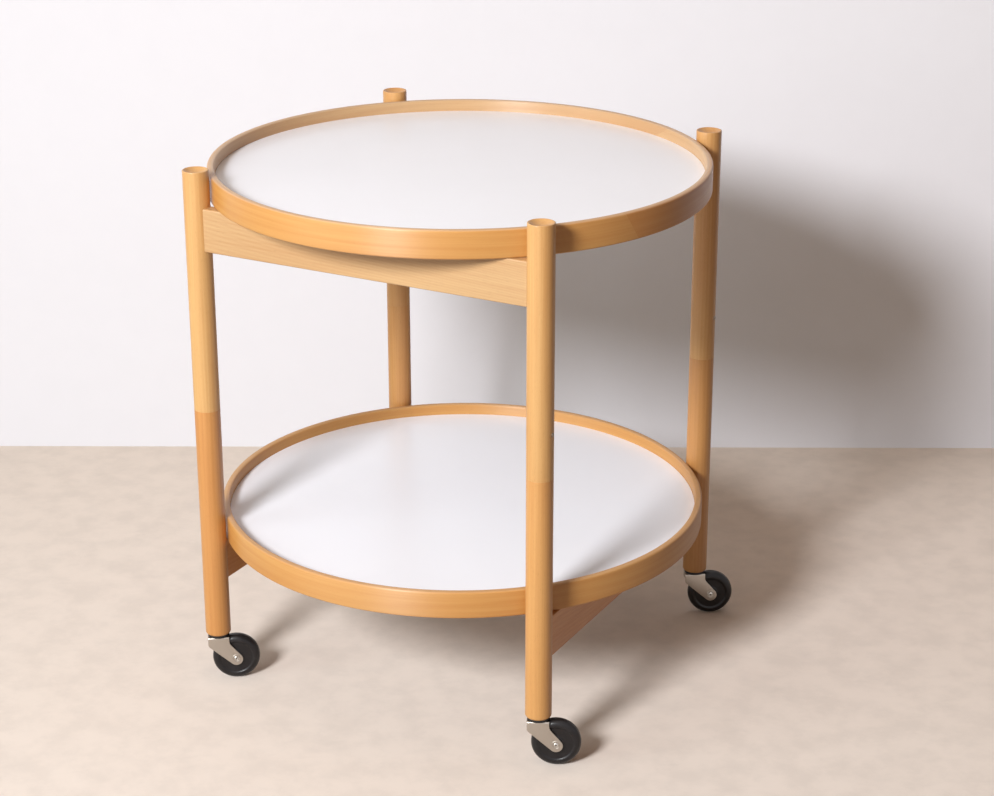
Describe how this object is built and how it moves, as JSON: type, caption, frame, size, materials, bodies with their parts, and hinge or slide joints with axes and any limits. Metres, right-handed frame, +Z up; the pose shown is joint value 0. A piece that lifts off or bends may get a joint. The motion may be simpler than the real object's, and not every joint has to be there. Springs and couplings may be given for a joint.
{
  "type": "serving trolley",
  "caption": "Round wooden serving trolley: rimmed lift-out trays with white laminate boards on a folding dowel-leg frame with swivel casters.",
  "frame": {"origin": "on the floor under the middle of the two trays", "axes": "+Z up, +X to the right along the top rails, +Y to the back along the bottom rails"},
  "size_m": [0.5999, 0.6, 0.6555],
  "materials": {
    "rim_beech": "clear satin lacquer on steam-bent beech",
    "board_core": "plywood, hidden under the laminate",
    "white_laminate": "smooth white laminate with a low sheen",
    "rail_ash": "clear satin lacquer on pale straight-grained wood",
    "dowel_beech": "plain beech",
    "upper_leg_beech": "clear satin lacquer on honey-coloured beech",
    "lower_leg_beech": "clear satin lacquer on slightly darker beech",
    "fitting_steel": "bright zinc-plated steel",
    "fork_steel": "satin nickel-plated pressed steel",
    "wheel_plastic": "moulded charcoal plastic with a soft sheen",
    "collar_plastic": "dark moulded plastic"
  },
  "bodies": {
    "right_lower_frame": {"right_bottom_rail": "rail_ash", "right_bottom_rail_dowels": "dowel_beech", "front_right_lower_leg": "lower_leg_beech", "front_right_caster_collar": "collar_plastic", "front_right_caster_socket": "fitting_steel", "back_right_lower_leg": "lower_leg_beech", "back_right_caster_collar": "collar_plastic", "back_right_caster_socket": "fitting_steel"},
    "left_lower_frame": {"left_bottom_rail": "rail_ash", "left_bottom_rail_dowels": "dowel_beech", "front_left_lower_leg": "lower_leg_beech", "front_left_caster_collar": "collar_plastic", "front_left_caster_socket": "fitting_steel", "back_left_lower_leg": "lower_leg_beech", "back_left_caster_collar": "collar_plastic", "back_left_caster_socket": "fitting_steel"},
    "front_upper_frame": {"front_top_rail": "rail_ash", "front_top_rail_dowels": "dowel_beech", "front_left_upper_leg": "upper_leg_beech", "front_left_pivot_pin": "fitting_steel", "front_left_pivot_screw": "fitting_steel", "front_right_upper_leg": "upper_leg_beech", "front_right_pivot_pin": "fitting_steel", "front_right_pivot_screw": "fitting_steel"},
    "back_upper_frame": {"back_top_rail": "rail_ash", "back_top_rail_dowels": "dowel_beech", "back_left_upper_leg": "upper_leg_beech", "back_left_pivot_pin": "fitting_steel", "back_left_pivot_screw": "fitting_steel", "back_right_upper_leg": "upper_leg_beech", "back_right_pivot_pin": "fitting_steel", "back_right_pivot_screw": "fitting_steel"},
    "top_tray": {"top_tray_rim": "rim_beech", "top_tray_board": "board_core", "top_tray_upper_laminate": "white_laminate", "top_tray_under_laminate": "white_laminate"},
    "lower_tray": {"lower_tray_rim": "rim_beech", "lower_tray_board": "board_core", "lower_tray_upper_laminate": "white_laminate", "lower_tray_under_laminate": "white_laminate"},
    "front_left_caster": {"front_left_caster_fork": "fork_steel", "front_left_caster_stem": "fitting_steel", "front_left_caster_axle": "fitting_steel"},
    "front_left_wheel": {"front_left_caster_wheel": "wheel_plastic"},
    "front_right_caster": {"front_right_caster_fork": "fork_steel", "front_right_caster_stem": "fitting_steel", "front_right_caster_axle": "fitting_steel"},
    "front_right_wheel": {"front_right_caster_wheel": "wheel_plastic"},
    "back_left_caster": {"back_left_caster_fork": "fork_steel", "back_left_caster_stem": "fitting_steel", "back_left_caster_axle": "fitting_steel"},
    "back_left_wheel": {"back_left_caster_wheel": "wheel_plastic"},
    "back_right_caster": {"back_right_caster_fork": "fork_steel", "back_right_caster_stem": "fitting_steel", "back_right_caster_axle": "fitting_steel"},
    "back_right_wheel": {"back_right_caster_wheel": "wheel_plastic"}
  },
  "joints": [
    {"name": "frame_fold", "type": "hinge", "parent": "right_lower_frame", "child": "front_upper_frame", "pos_m": [0.22422, -0.22422, 0.3605], "axis": [0, 0, 1], "range_deg": [-0.2, 0.2]},
    {"name": "back_frame_fold", "type": "hinge", "parent": "right_lower_frame", "child": "back_upper_frame", "pos_m": [0.22422, 0.22422, 0.3605], "axis": [0, 0, 1], "range_deg": [-0.2, 0.2]},
    {"name": "left_frame_fold", "type": "hinge", "parent": "front_upper_frame", "child": "left_lower_frame", "pos_m": [-0.22422, -0.22422, 0.3605], "axis": [0, 0, 1], "range_deg": [-0.2, 0.2]},
    {"name": "top_tray_lift", "type": "slide", "parent": "front_upper_frame", "child": "top_tray", "axis": [0, 0, 1], "range_m": [0, 0.25]},
    {"name": "lower_tray_lift", "type": "slide", "parent": "right_lower_frame", "child": "lower_tray", "axis": [0, 0, 1], "range_m": [0, 0.33]},
    {"name": "front_left_swivel", "type": "hinge", "parent": "left_lower_frame", "child": "front_left_caster", "pos_m": [-0.22422, -0.22422, 0.062], "axis": [0, 0, 1], "continuous": true},
    {"name": "front_right_swivel", "type": "hinge", "parent": "right_lower_frame", "child": "front_right_caster", "pos_m": [0.22422, -0.22422, 0.062], "axis": [0, 0, 1], "continuous": true},
    {"name": "back_left_swivel", "type": "hinge", "parent": "left_lower_frame", "child": "back_left_caster", "pos_m": [-0.22422, 0.22422, 0.062], "axis": [0, 0, 1], "continuous": true},
    {"name": "back_right_swivel", "type": "hinge", "parent": "right_lower_frame", "child": "back_right_caster", "pos_m": [0.22422, 0.22422, 0.062], "axis": [0, 0, 1], "continuous": true},
    {"name": "front_left_wheel_spin", "type": "hinge", "parent": "front_left_caster", "child": "front_left_wheel", "pos_m": [-0.20681, -0.21248, 0.02925], "axis": [-0.5592, 0.829, 0], "continuous": true},
    {"name": "front_right_wheel_spin", "type": "hinge", "parent": "front_right_caster", "child": "front_right_wheel", "pos_m": [0.24326, -0.21535, 0.02925], "axis": [-0.4226, 0.9063, 0], "continuous": true},
    {"name": "back_left_wheel_spin", "type": "hinge", "parent": "back_left_caster", "child": "back_left_wheel", "pos_m": [-0.20568, 0.23408, 0.02925], "axis": [-0.4695, 0.8829, 0], "continuous": true},
    {"name": "back_right_wheel_spin", "type": "hinge", "parent": "back_right_caster", "child": "back_right_wheel", "pos_m": [0.24222, 0.23504, 0.02925], "axis": [-0.515, 0.8572, 0], "continuous": true}
  ],
  "couplings": [
    {"joint": "back_frame_fold", "follows": "frame_fold", "ratio": 1},
    {"joint": "left_frame_fold", "follows": "frame_fold", "ratio": -1}
  ]
}
